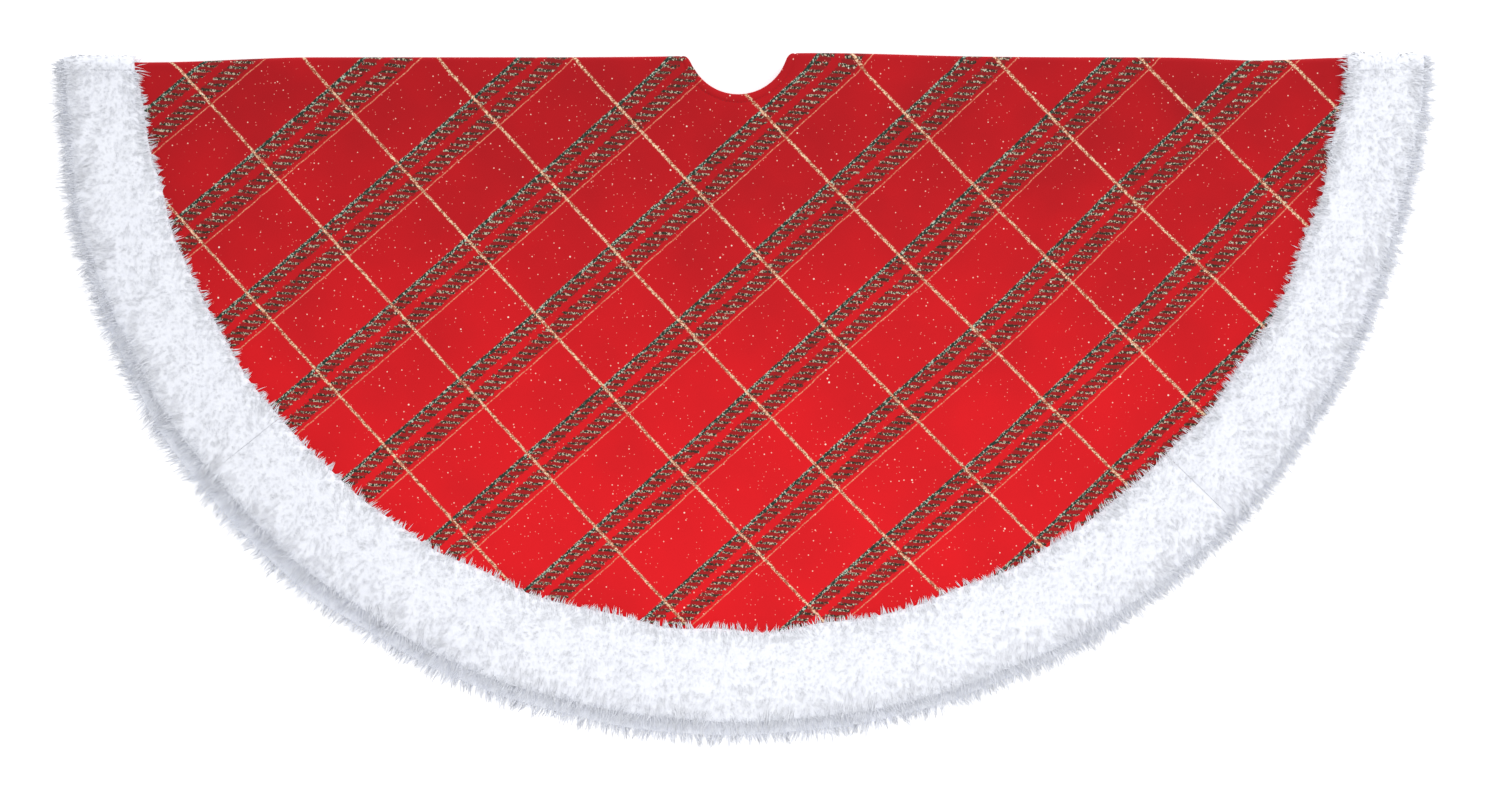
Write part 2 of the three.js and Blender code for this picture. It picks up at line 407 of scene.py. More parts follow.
# ---- meshes
def mesh_object(name, points, polygons, material, uv=None):
    """polygons is a list of arrays, each with one polygon of the same number of corners in a row."""
    mesh = bpy.data.meshes.new(name)
    loops = np.concatenate([part.ravel() for part in polygons]).astype(np.int32)
    sizes = np.concatenate([np.full(len(part), part.shape[1]) for part in polygons])
    starts = np.concatenate([[0], np.cumsum(sizes)[:-1]]).astype(np.int32)
    mesh.vertices.add(len(points))
    mesh.vertices.foreach_set("co", np.asarray(points, np.float32).ravel())
    mesh.loops.add(len(loops))
    mesh.loops.foreach_set("vertex_index", loops)
    mesh.polygons.add(len(starts))
    mesh.polygons.foreach_set("loop_start", starts)
    mesh.polygons.foreach_set("use_smooth", np.ones(len(starts), bool))
    mesh.update(calc_edges=True)
    if uv is not None:
        layer = mesh.uv_layers.new(name="Cloth")
        layer.data.foreach_set("uv", np.asarray(uv, np.float32)[loops].ravel())
    mesh.validate()
    mesh.set_sharp_from_angle(angle=math.radians(50))
    mesh.materials.append(material)
    ob = bpy.data.objects.new(name, mesh)
    bpy.context.scene.collection.objects.link(ob)
    return ob


def loft(name, rings, uv, material, strip_caps=True):
    """A closed mesh through rings of points, an array (ring, point, 3). The caps are strips of quads from
    one half of the ring to the other, or one polygon each."""
    count, size = rings.shape[:2]
    index = np.arange(count * size).reshape(count, size)
    following = np.roll(index, -1, axis=1)
    sides = np.stack([index[:-1], index[1:], following[1:], following[:-1]], -1).reshape(-1, 4)
    polygons = [sides]
    for ring, order in ((index[0], 1), (index[-1], -1)):
        if strip_caps:
            there, back = ring[:size // 2], ring[::-1][:size // 2]
            cap = np.stack([there[:-1], there[1:], back[1:], back[:-1]], -1)
        else:
            cap = ring[None, :]
        polygons.append(cap[:, ::order])
    return mesh_object(name, rings.reshape(-1, 3), polygons, material, uv.reshape(-1, 2))


def ripples(x, y, wavelength, seed, count=6):
    """Smooth noise, mostly from -1 to 1, the same in every run."""
    rng = np.random.default_rng(seed)
    total = 0
    for _ in range(count):
        angle, phase = rng.uniform(0, 2 * math.pi, 2)
        wave = 2 * math.pi / (wavelength * rng.uniform(0.75, 1.4))
        total = total + np.sin((x * math.cos(angle) + y * math.sin(angle)) * wave + phase)
    return total / math.sqrt(2 * count)


# ---- places on the skirt
def sag(u, s):
    """How far the slack cloth between the fur borders sinks, at a distance s from the fold."""
    radius = np.hypot(u, s)
    free = smooth((s - FOLD_REACH) / (70 * MM)) * smooth((FUR_INNER - 22 * MM - radius) / (110 * MM))
    waves = 0.8 * ripples(u, s, 0.21, 11) + 0.35 * ripples(u, s, 0.10, 12)
    return -free * (4.2 + 2.4 * waves) * MM


def place(half, u, v, t):
    """The folded place of a point of the unfolded skirt."""
    s = np.abs(DEPTH_RATIO * (v + FOLD_OFFSET))
    return np.stack(np.broadcast_arrays(u, FOLD_Y - s, FOLD_Z + half * t + sag(u, s)), -1)


def cloth_uv(u, v):
    return np.stack(np.broadcast_arrays(u, DEPTH_RATIO * (v + FOLD_OFFSET)), -1)


def fold_edge(half, side):
    """Where a piece gives way to the one that bends over the fold. Each edge is a function from a circle
    (its centre's u and its radius) to the angle at which that circle meets the edge."""
    v = -FOLD_OFFSET - half * FOLD_REACH / DEPTH_RATIO

    def angle(circle):
        tilt = math.asin(v / circle[1])
        if side < 0:
            return math.pi - tilt
        return tilt + (2 * math.pi if half == FRONT else 0)
    return angle


def slit_edge(side, gap=SLIT):
    return lambda circle: math.acos((HOLE_X + side * gap / 2 - circle[0]) / circle[1])


def join_edge(degrees, side):
    return lambda circle: math.radians(degrees) + side * 0.15 * MM / circle[1]


def between(inner, outer, edges, a, b):
    """(u, v) at the share a of the way round from one edge to the other, and b of the way outwards."""
    ends = []
    for circle in (inner, outer):
        start, end = (edge(circle) for edge in edges)
        angle = start + (end - start) * a
        ends.append((circle[0] + circle[1] * np.cos(angle), circle[1] * np.sin(angle)))
    (u0, v0), (u1, v1) = ends
    return u0 + (u1 - u0) * b, v0 + (v1 - v0) * b


def shares(length, step, fine_start=False, fine_end=False):
    """Shares of a length at an even step, closer at the ends that have a hem."""
    fine = np.array([0, 0.4, 1, 1.8, 2.8, 4, 5.2, 6.4, 7.1, 7.5, 7.9, 8.6, 10, 12, 15]) * MM
    places = np.linspace(0, length, max(2, round(length / step)) + 1)
    if fine_start:
        places = np.concatenate([fine, places[places > fine[-1] + step / 2]])
    if fine_end:
        places = np.concatenate([places[places < length - fine[-1] - step / 2], length - fine[::-1]])
    return places / length


EDGES = {
    "front": (FRONT, (fold_edge(FRONT, -1), fold_edge(FRONT, 1))),
    "left": (BACK, (slit_edge(-1), fold_edge(BACK, -1))),
    "right": (BACK, (fold_edge(BACK, 1), slit_edge(1))),
}
NECK = (HOLE_X, HOLE)


# ---- cloth
CLOTH = {
    "face": (FACE_RADIUS, FACE_T, PLAID, "plaid_cloth"),
    "lining": (LINING_RADIUS, LINING_T, LINING, "lining_cloth"),
}


def finished_distance(half, u, v):
    """Distance to the nearest turned and stitched edge: the neck, and on the quarters the slit."""
    neck = np.hypot(u - HOLE_X, v) - HOLE
    if half == FRONT:
        return neck
    return np.minimum(neck, np.abs(u - HOLE_X) - SLIT / 2)


def layer_heights(kind, distance):
    """Lower and upper height of the face or lining, which meet at a finished edge."""
    turn = rounded(distance / (2.6 * MM))
    puff = np.exp(-((distance - 4.2 * MM) / (2.0 * MM)) ** 2)
    groove = np.exp(-((distance - HEM) / (0.9 * MM)) ** 2)
    if kind == "face":
        return FACE_T[0] - 0.85 * MM * turn, FACE_T[1] + (0.5 * puff - 0.6 * groove - 1.7 * turn) * MM
    return LINING_T[0] + (0.75 * turn + 0.3 * groove) * MM, LINING_T[1] + 0.25 * MM * turn


def pucker(distance, u, v):
    return 0.45 * MM * np.exp(-(distance / (16 * MM)) ** 2) * ripples(u, v, 26 * MM, 21)


def finish_piece(ob, body, node):
    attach(ob, body)
    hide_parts(node)


def around(top, bottom):
    """Rings over the top and back under the bottom of a layer, from a grid of each."""
    return np.concatenate([top, bottom[:, ::-1]], 1)


def panel_rows(radius):
    return shares(radius - HOLE, 8 * MM, fine_start=True)


def panel(where, kind):
    half, edges = EDGES[where]
    radius, _, material, slot = CLOTH[kind]
    outer = (0, radius)
    arc = (edges[1](outer) - edges[0](outer)) * radius
    a = shares(arc, 8 * MM, where == "left", where == "right")[:, None]
    u, v = between(NECK, outer, edges, a, panel_rows(radius)[None, :])
    distance = finished_distance(half, u, v)
    low, high = layer_heights(kind, distance)
    lift = half * pucker(distance, u, v)
    rings = around(place(half, u, v, high + lift), place(half, u, v, low + lift))
    uv = cloth_uv(u, v)
    ob = loft(f"{where}_{kind}_cloth", rings, around(uv, uv), material)
    finish_piece(ob, BODY[where], f"{where}_face_panel" if kind == "face" else f"{where}_lining")


def fold_wave(x):
    """How far the cloth's fold line strays from straight, in metres."""
    rise = 3.8 * np.exp(-((x - 0.07) / 0.11) ** 2)
    ends = -4.5 * smooth((-x - 0.38) / 0.15) - 2.8 * np.exp(-((x - 0.46) / 0.05) ** 2)
    return (rise + ends - 1.4) * MM


def roll_path(low, centre, flat_steps, arc_steps):
    """The way over the fold from one half to the other: y from the fold line, angle turned and share of the
    way, from -1 to 1. centre is how far inside the fold line the roll's centre is, and low its radius."""
    flat = np.linspace(0, 1, flat_steps + 1)
    arc = np.linspace(0, math.pi, arc_steps + 1)[1:-1]
    run = FOLD_REACH - centre
    steps = [(-FOLD_REACH + run * share, 0, run * share) for share in flat]
    steps += [(-centre, angle, run + low * angle) for angle in arc]
    steps += [(-centre - run * share, math.pi, run * (1 + share) + low * math.pi) for share in flat]
    y, angle, length = (np.array([step[k] + 0 * centre for step in steps]) for k in range(3))
    return y, angle, 2 * length / length[-1] - 1


def fold_strip(side, kind):
    """The face or lining over the fold on one side of the neck, bending between the halves."""
    word = "left" if side < 0 else "right"
    radius, span, material, slot = CLOTH[kind]
    b = panel_rows(radius)
    from_neck = b * (radius - HOLE)
    corner = 5 * MM * rounded(from_neck / (9 * MM))
    centre = CLOTH_ROLL - fold_wave(side * (HOLE + from_neck)) + corner
    y, angle, share = roll_path(sum(span) / 2, centre, 3, 14)
    v = -FOLD_OFFSET + share * FOLD_REACH / DEPTH_RATIO
    start = HOLE_X + side * np.sqrt(HOLE ** 2 - v ** 2)
    end = side * np.sqrt(radius ** 2 - v ** 2)
    u = start + (end - start) * b
    distance = np.hypot(u - HOLE_X, v) - HOLE
    low, high = layer_heights(kind, distance)
    lift = pucker(distance, u, v) * np.cos(angle)

    def points(t):
        return np.stack([u, FOLD_Y + y + t * np.sin(angle), FOLD_Z + t * np.cos(angle) + lift], -1)
    rings = around(points(high), points(low))
    if side < 0:
        rings, share, u = rings[::-1], share[::-1], u[::-1]
    uv = np.stack([u, share * FOLD_REACH], -1)
    ob = loft(f"{word}_{kind}_fold", rings, around(uv, uv), material)
    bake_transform(ob)


# ---- fur
SHELL_IN, SHELL_OUT = FUR_INNER + 4 * MM, RIM - 8 * MM
SHELL_WIDTH = SHELL_OUT - SHELL_IN
CROWN = 10.4 * MM                  # top of the fur's dense base; loose strands stand above it
FUR_GAP = 0.8 * MM                 # the pile nearly closes the slit
SEAT = 4.3 * MM                    # the fur's inner edge sits on the face at this height
RIM_T = 6.6 * MM                   # height of the round rim's outermost line
WRAP_T = (0.35 * MM, 0.88 * MM)    # the fur's backing where it wraps the lining's edge
FOLD_FUR_LOW = 3.5 * MM            # underside of the piece that bends over the fold


def folded_angle(u, v):
    """Degrees round the folded skirt as it lies, 180 at the left end of the fold to 360 at the right."""
    return np.degrees(np.arctan2(-np.abs(v), u)) % 360


def bulge(angle, at, width):
    return np.exp(-((angle - at) / width) ** 2)


def outer_shift(half, angle):
    """How far the fur's outline strays outwards from its round nominal edge."""
    if half == FRONT:
        shift = 12 * smooth((angle - 184) / 14) * smooth((348 - angle) / 44) + 4 * bulge(angle, 246, 14)
        shift = shift + 4 * bulge(angle, 180, 14) + 3 * bulge(angle, 360, 8)
    else:
        shift = 14 * bulge(angle, 215, 48) - 4 * bulge(angle, 328, 22) - 3.5 * bulge(angle, 180, 14)
        shift = shift + 4 * bulge(angle, 360, 10)
    return (shift + 1.2 * ripples(np.radians(angle), 0 * angle, 0.21, 31)) * MM


def inner_shift(angle):
    """The same for its inner edge, outwards too."""
    shift = 5 * bulge(angle, 192, 16) + 3 * bulge(angle, 226, 18) - 3 * bulge(angle, 316, 30)
    shift = shift + 9 * bulge(angle, 180, 5) + 6 * bulge(angle, 360, 5)
    return (shift + 2.0 * ripples(np.radians(angle), 0 * angle, 0.16, 32)) * MM


TOP_SHARES = np.array([0, .006, .02, .045, .08, .13, .19, .26, .34, .42, .5, .58, .66, .74, .81, .87,
                       .92, .955, .98, .994, 1])


def crown(share):
    """Height of the base's top at a share of the way across, rounded down at both edges."""
    inner = rounded(share * SHELL_WIDTH / (13 * MM))
    outer = rounded((1 - share) * SHELL_WIDTH / (16 * MM))
    return CROWN - (CROWN - SEAT) * inner - (CROWN - RIM_T) * outer


def underside(back):
    """Height of the wrapped edge's lower surface, at a distance back from the rim."""
    return WRAP_T[0] + (RIM_T - WRAP_T[0]) * rounded(back / (18 * MM))


def base_section():
    """The dense base's section as (share across, height, is it on top). It is round at the rim, wraps the
    lining's edge and sits on the face's."""
    top = [(share, crown(share), 1) for share in TOP_SHARES]
    rim = [(back * MM, underside(back * MM)) for back in (0.3, 1.2, 3, 6, 10, 14, 18, 32, 46)]
    channel = [(46.6 * MM, sum(WRAP_T) / 2), (46 * MM, WRAP_T[1]), (32 * MM, WRAP_T[1]), (19 * MM, WRAP_T[1]),
               (18.6 * MM, 1.5 * MM), (19 * MM, 2.1 * MM), (38 * MM, 2.1 * MM), (53 * MM, 2.1 * MM)]
    below = [(1 - back / SHELL_WIDTH, t, 0) for back, t in rim + channel]
    seat = [(along * MM / SHELL_WIDTH, SEAT, 0) for along in (17.5, 12, 7, 1)]
    return np.array(top + below + seat)


def ring_uv(half, edges, a, share):
    """(u, v) at a share of the way across the fur band, with its outline's strays."""
    u, v = between((0, SHELL_IN), (0, SHELL_OUT), edges, a, share)
    radius = np.hypot(u, v)
    angle = folded_angle(u, v)
    across = np.clip((radius - SHELL_IN) / SHELL_WIDTH, -0.2, 1.2)
    shift = inner_shift(angle) * (1 - across) + np.maximum(outer_shift(half, angle), -1 * MM) * across
    return u * (1 + shift / radius), v * (1 + shift / radius)


class Strip:
    """One strip of the border. ends says which of its two ends, 0 and 1, meet another strip or the slit."""

    def __init__(self, name, where, edges, ends, node):
        self.name, self.half, self.body = name, EDGES[where][0], BODY[where]
        self.edges, self.ends, self.node = edges, ends, node
        angle = edges[1]((0, SHELL_OUT)) - edges[0]((0, SHELL_OUT))
        self.arc = abs(angle) * (SHELL_IN + SHELL_OUT) / 2
        self.turn = 1 if angle > 0 else -1

    def nearness(self, a, reach):
        """For each of those ends, 1 at the end itself, falling to 0 at the reach."""
        return [(end, 1 - smooth(np.abs(a - end) * self.arc / reach)) for end in self.ends]

    def top_height(self, a, share, u, v):
        lumps = 0.5 * ripples(u, v, 32 * MM, 41) + 0.4 * ripples(u, v, 11 * MM, 42)
        lumps = lumps * smooth(share / 0.1) * smooth((1 - share) / 0.1) * MM
        dip = 0
        for _, near in self.nearness(a, 6 * MM):
            dip = np.maximum(dip, near)
        depth = 1.3 if self.half == FRONT else 0.8
        return crown(share) + lumps - depth * MM * dip

    def base(self):
        section = base_section()
        a = shares(self.arc, 5 * MM)[:, None]
        extra = np.array([1, 2, 3.5]) * MM / self.arc
        a = np.unique(np.concatenate([a.ravel(), extra, 1 - extra]))[:, None]
        share = section[None, :, 0]
        u, v = ring_uv(self.half, self.edges, a, share)
        t = np.where(section[None, :, 2] > 0.5, self.top_height(a, np.clip(share, 0, 1), u, v),
                     section[None, :, 1] + 0 * u)
        rings = place(self.half, u, v, t)
        ob = loft(self.name + "_base", rings, cloth_uv(u, v), FUR_BASE, strip_caps=False)
        finish_piece(ob, self.body, self.node)
        return ob

    def roots(self, rng):
        rows = round(SHELL_WIDTH / STRAND_PITCH)
        columns = round(self.arc / STRAND_PITCH)
        a = (np.arange(columns)[:, None] + rng.uniform(0, 1, (columns, rows))) / columns
        share = (np.arange(rows)[None, :] + rng.uniform(0, 1, (columns, rows))) / rows
        share = share - 0.08 * np.sin(2 * math.pi * share)    # closer at both edges of the band
        return a.ravel(), share.ravel()

    def pile(self, name, points, half_width, rng, normal=None):
        """A piece of this strip's pile, from (u, v) and height of the strands' roots, middles and tips."""
        points = [place(self.half, *uv.T, t) for uv, t in points]
        ob = tubes(self.name + name, *points, half_width, rng, normal)
        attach(ob, self.body)
        return ob


def tubes(name, root, middle, tip, half_width, rng, normal=None):
    """Closed three-sided strands through three points each, tapering to the tip. Strands that are given a
    normal are shaded mostly as the surface that they stand on, so the pile looks soft."""
    count = len(root)
    along = tip - root
    along /= np.linalg.norm(along, axis=1)[:, None] + 1e-12
    helper = rng.normal(0, 1, (count, 3))
    first = np.cross(along, helper)
    first /= np.linalg.norm(first, axis=1)[:, None] + 1e-12
    second = np.cross(along, first)
    points = np.empty((count, 7, 3))
    for k in range(3):
        turn = 2 * math.pi * k / 3
        out = first * math.cos(turn) + second * math.sin(turn)
        points[:, k] = root + out * half_width[:, None]
        points[:, 3 + k] = middle + out * half_width[:, None] * 0.8
    points[:, 6] = tip
    first_index = 7 * np.arange(count)[:, None]
    sides = np.concatenate([first_index + [k, (k + 1) % 3, 3 + (k + 1) % 3, 3 + k] for k in range(3)])
    ends = np.concatenate([first_index + [2, 1, 0]]
                          + [first_index + [3 + k, 3 + (k + 1) % 3, 6] for k in range(3)])
    ob = mesh_object(name, points.reshape(-1, 3), [sides, ends], FUR_PILE)
    if normal is not None:
        own = points - np.concatenate([points[:, :3].mean(1, keepdims=True).repeat(3, 1),
                                       points[:, 3:6].mean(1, keepdims=True).repeat(3, 1),
                                       points[:, 6:] - along[:, None] * MM], 1)
        own /= np.linalg.norm(own, axis=2, keepdims=True)
        soft = own * 0.08 + normal[:, None]
        soft /= np.linalg.norm(soft, axis=2, keepdims=True)
        ob.data.normals_split_custom_set_from_vertices(soft.reshape(-1, 3))
    return ob


def clump_of(u, v, seed):
    """The nearest of a jittered grid of clump centres to each root, and four numbers of that clump."""
    multipliers = (48271, 69621, 40692, 52774, 61713, 39373)
    grid = np.floor(np.stack([u, v], -1) / CLUMP).astype(int)
    best = np.full(len(u), 1e9)
    centre = np.zeros((len(u), 2))
    luck = np.zeros((len(u), 4))
    for i in (-1, 0, 1):
        for j in (-1, 0, 1):
            cell = grid + [i, j]
            key = (cell[:, 0] * 92821 + cell[:, 1] * 68917 + seed * 7919) & 0x7FFFFFFF
            numbers = np.stack([((key * k) % 100003) / 100003 for k in multipliers], -1)
            here = (cell + 0.15 + 0.7 * numbers[:, :2]) * CLUMP
            distance = np.hypot(here[:, 0] - u, here[:, 1] - v)
            nearer = distance < best
            best = np.where(nearer, distance, best)
            centre[nearer] = here[nearer]
            luck[nearer] = numbers[nearer][:, 2:]
    return centre, luck


def pile_lean(u, v, share, luck):
    """Lean of the pile across and along the band, and its rise, each as a share of the strand's length."""
    out = np.interp(share, [0, 0.12, 0.3, 0.6, 0.88, 1], [-0.85, -0.55, 0.0, 0.30, 0.62, 0.88])
    rise = np.interp(share, [0, 0.10, 0.3, 0.7, 0.90, 1], [0.08, 0.18, 0.18, 0.18, 0.18, 0.05])
    swirl_u, swirl_v = ripples(u, v, 55 * MM, 51), ripples(u, v, 55 * MM, 52)
    free = smooth(share / 0.15) * smooth((1 - share) / 0.15)
    out = out + (0.22 * swirl_u + 0.25 * (luck[:, 0] - 0.5)) * (0.35 + 0.65 * free)
    along = 0.25 * swirl_v + (0.7 - 0.4 * free) * (luck[:, 1] - 0.5)
    return out, along, rise * (0.8 + 0.4 * luck[:, 2])


def lean_step(u, v, out, along, length):
    """From each strand's root to its tip in (u, v), for a lean outwards and along the band."""
    outwards = np.stack([u, v], -1) / np.hypot(u, v)[:, None]
    sideways = np.stack([-outwards[:, 1], outwards[:, 0]], -1)
    return (outwards * out[:, None] + sideways * along[:, None]) * length[:, None]


def away_from_edges(share):
    """1 over most of the band's width, falling to 0 near both its edges."""
    return smooth((share - 0.06) / 0.14) * smooth((0.90 - share) / 0.14)


def strip_pile(strip, seed):
    """The loose strands over the top of a strip's dense base."""
    rng = np.random.default_rng(seed)
    half = strip.half
    a, share = strip.roots(rng)
    u, v = ring_uv(half, strip.edges, a, share)
    count = len(u)
    t = strip.top_height(a, share, u, v) - STRAND_ROOT
    centre, luck = clump_of(u, v, seed)
    out, along, rise = pile_lean(u, v, share, luck)
    length = rng.uniform(*STRAND_LENGTH, count) * MM * (0.85 + 0.3 * luck[:, 3])
    length = length * (1 - 0.50 * (1 - smooth(share / 0.16)))
    shift = outer_shift(half, folded_angle(u, v))
    length = length + np.minimum(shift + 1 * MM, 0) * smooth((share - 0.8) / 0.2)
    out = out + rng.normal(0, 0.13, count)
    along = along + rng.normal(0, 0.13, count)
    rise = rise + rng.normal(0, 0.04, count)
    for end, near in strip.nearness(a, 9 * MM):
        lean = 0.12 if half == FRONT else -0.55
        along = along + strip.turn * near * (lean if end == 0 else -lean)
    step = lean_step(u, v, out, along, length)
    inner_part = away_from_edges(share)
    pull = (0.10 + 0.12 * luck[:, 2] + 0.42 * (1 - inner_part))[:, None]
    root = np.stack([u, v], -1)
    tip = (root + step) * (1 - pull) + (centre + step) * pull
    middle = root * 0.52 + tip * 0.48 + (centre - root) * 0.08
    tip_t = t + rise * length
    middle_t = t + (0.70 * rise + 0.06) * length
    if half == BACK:              # the lower layer's pile is pressed flat on the floor
        tip_t, middle_t = np.minimum(tip_t, 13.6 * MM), np.minimum(middle_t, 13.3 * MM)
    normal = np.stack([0 * u, 0 * u, half * inner_part], -1)
    half_width = rng.uniform(0.36, 0.54, count) * MM
    return strip.pile("_pile", ((root, t), (middle, middle_t), (tip, tip_t)), half_width, rng, normal)


def wrap_pile(strip, seed):
    """Short pile on the lining side of the wrapped edge."""
    rng = np.random.default_rng(seed)
    width, pitch = 34 * MM, 2.6 * MM
    count = round(strip.arc * width / pitch ** 2)
    a = rng.uniform(0, 1, count)
    back = rng.uniform(0, width, count)
    u, v = ring_uv(strip.half, strip.edges, a, 1 - back / SHELL_WIDTH)
    centre, luck = clump_of(u, v, seed)
    out = 0.85 + rng.normal(0, 0.15, count)
    along = 0.6 * (luck[:, 0] - 0.5) + rng.normal(0, 0.2, count)
    length = rng.uniform(9, 14, count) * MM
    step = lean_step(u, v, out, along, length)
    root = np.stack([u, v], -1)
    tip = (root + step) * 0.6 + 0.4 * (centre + step)
    root_t = underside(back) + 0.5 * MM
    lift = rng.uniform(0.4, 1.8, count) * MM * (1 if strip.half == BACK else 0.25)
    lift = lift + 2.2 * MM * (1 - smooth(back / (14 * MM)))
    points = ((root, root_t), (root * 0.5 + tip * 0.5, root_t - 0.8 * lift), (tip, root_t - lift))
    return strip.pile("_wrap_pile", points, rng.uniform(0.36, 0.50, count) * MM, rng)


def fold_base(side, word, centre):
    """The dense base over one end of the fold, and where its inner and outer edges are along the fold."""
    under = (1, .8, .6, .4, .2, 0)
    share = np.concatenate([TOP_SHARES, under])[None, :]
    t = np.concatenate([crown(TOP_SHARES), np.full(len(under), FOLD_FUR_LOW)])[None, :]
    y, angle, way = roll_path(CROWN, np.full(1, centre), 3, 20)
    start, end = (ring_uv(half, EDGES[where][1], np.array([[edge]]), share)
                  for half, where, edge in ((FRONT, "front", 0 if side < 0 else 1),
                                            (BACK, word, 1 if side < 0 else 0)))
    mix = (way + 1) / 2
    u = start[0] * (1 - mix) + end[0] * mix
    filled = CROWN - (CROWN - t) * 0.35
    on_top = np.arange(share.size) < len(TOP_SHARES)
    t = np.where(on_top, t + (filled - t) * np.sin(angle) ** 2, t)
    rings = np.stack([u, FOLD_Y + y + t * np.sin(angle) + 0 * u, FOLD_Z + t * np.cos(angle)], -1)
    if side < 0:
        rings, u, way = rings[::-1], u[::-1], way[::-1]
    uv = np.stack([u, way * FOLD_REACH + 0 * u], -1)
    base = loft(f"{word}_fur_fold_base", rings, uv, FUR_BASE, strip_caps=False)
    return base, rings[:, 0, 0].mean(), rings[:, len(TOP_SHARES) - 1, 0].mean()


def fold_pile(side, word, centre, path_length, inner_x, outer_x):
    """The strands over one end of the fold, which also close its open end."""
    rng = np.random.default_rng(77 + side)
    flat_part = FOLD_REACH - centre
    arc_part = path_length - 2 * flat_part
    count = round((path_length + 10 * MM) * SHELL_WIDTH / (1.9 * MM) ** 2)
    way = rng.uniform(-5 * MM, path_length + 5 * MM, count)
    turn = np.clip((way - flat_part) / arc_part, 0, 1) * math.pi
    beyond = way > flat_part + arc_part
    y_root = np.where(way < flat_part, -FOLD_REACH + way,
                      np.where(beyond, -FOLD_REACH + (path_length - way), -centre))
    share = rng.uniform(0, 1, count)
    share = np.where(rng.uniform(0, 1, count) < 0.14, 1 - 0.06 * share, share)  # closer at the open end
    x = inner_x + (outer_x - inner_x) * share
    round_fold = turn * 12 * MM
    luck = np.stack([ripples(x, round_fold, 13 * MM, 61 + k) for k in range(4)], -1) * 0.5 + 0.5
    out, along, rise = pile_lean(x, round_fold, share, luck)
    over = np.sin(turn)
    length = rng.uniform(12, 16, count) * MM * (1 - 0.2 * over)
    out = side * (out * (1 - 0.15 * over) + rng.normal(0, 0.15, count))
    rise = np.maximum(rise, 0.12) + rng.normal(0, 0.04, count)
    rise = rise - rng.uniform(0, 0.8, count) * smooth((share - 0.86) / 0.1)     # and leaning across it
    along = 0.5 * along + rng.normal(0, 0.30, count)
    normal = np.stack([np.sin(turn), np.cos(turn)], -1)
    across = np.stack([np.cos(turn), -np.sin(turn)], -1)
    points = []
    for part, lifted in ((0, 0), (0.5, 0.72), (1, 1)):
        t = crown(share) - 1.5 * MM + rise * length * lifted
        step = (along * length * part)[:, None] * across + t[:, None] * normal
        z = np.maximum(FOLD_Z + step[:, 1], 0.3 * MM)
        points.append(np.stack([x + out * length * part, FOLD_Y + y_root + step[:, 0], z], -1))
    facing = np.concatenate([0 * turn[:, None], normal * away_from_edges(share)[:, None]], 1)
    return tubes(f"{word}_fur_fold_pile", *points, rng.uniform(0.42, 0.62, count) * MM, rng, facing)


def fur_fold(side):
    """The fur over one end of the fold: a base and its pile, bending between the halves."""
    word = "left" if side < 0 else "right"
    centre = FUR_ROLL + (2.4 * MM if side < 0 else 0)
    path_length = 2 * (FOLD_REACH - centre) + math.pi * 6 * MM
    base, inner_x, outer_x = fold_base(side, word, centre)
    pile = fold_pile(side, word, centre, path_length, inner_x, outer_x)
    for ob in (base, pile):
        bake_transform(ob)


def make_fur():
    first, last = JOINS
    left_fold, right_fold = EDGES["front"][1]
    strips = [
        Strip("left_front_fur", "front", (left_fold, join_edge(first, -1)), [1], "left_fur_strip_front"),
        Strip("middle_fur", "front", (join_edge(first, 1), join_edge(last, -1)), [0, 1], "middle_fur_strip"),
        Strip("right_front_fur", "front", (join_edge(last, 1), right_fold), [0], "right_fur_strip_front"),
        Strip("left_back_fur", "left", (slit_edge(-1, FUR_GAP), fold_edge(BACK, -1)), [0],
              "left_fur_strip_back"),
        Strip("right_back_fur", "right", (fold_edge(BACK, 1), slit_edge(1, FUR_GAP)), [1],
              "right_fur_strip_back"),
    ]
    for number, strip in enumerate(strips):
        base = strip.base()
        pile = strip_pile(strip, seed=number + 1)
        wrap = wrap_pile(strip, seed=number + 20)
    for side in (-1, 1):
        fur_fold(side)


# ---- tapes, stitching
def tape_piece(name, where, u, v, span, material, node):
    """A flat strip that follows the cloth, on a grid of (u, v)."""
    half = EDGES[where][0]
    low, high = span
    uv = cloth_uv(u, v)
    ob = loft(name, around(place(half, u, v, high), place(half, u, v, low)), around(uv, uv), material)
    finish_piece(ob, BODY[where], node)
    return ob


def neck_tape(where):
    edges = EDGES[where][1]
    inner, outer = (HOLE_X, HOLE + TAPE_IN), (HOLE_X, HOLE + TAPE_IN + NECK_TAPE)
    arc = (edges[1](outer) - edges[0](outer)) * (inner[1] + outer[1]) / 2
    u, v = between(inner, outer, edges, shares(arc, 3 * MM)[:, None], np.linspace(0, 1, 9)[None, :])
    ob = tape_piece(f"{where}_neck_stay", where, u, v, TAPE_T, TAPE, f"{where}_neck_tape")


def slit_tape(where, side):
    low, high = HOLE + 26 * MM, FUR_INNER - 2 * MM
    across = np.linspace(0, SLIT_TAPE, 9)
    u = (HOLE_X + side * (SLIT / 2 + TAPE_IN) + side * across)[None, :]
    v = shares(high - low, 6 * MM)[:, None] * (high - low) + low
    u, v = np.broadcast_arrays(u, v)
    if side > 0:
        v = v[::-1]
    ob = tape_piece(f"{where}_slit_stay", where, u, v, TAPE_T, TAPE, f"{where}_slit_tape")


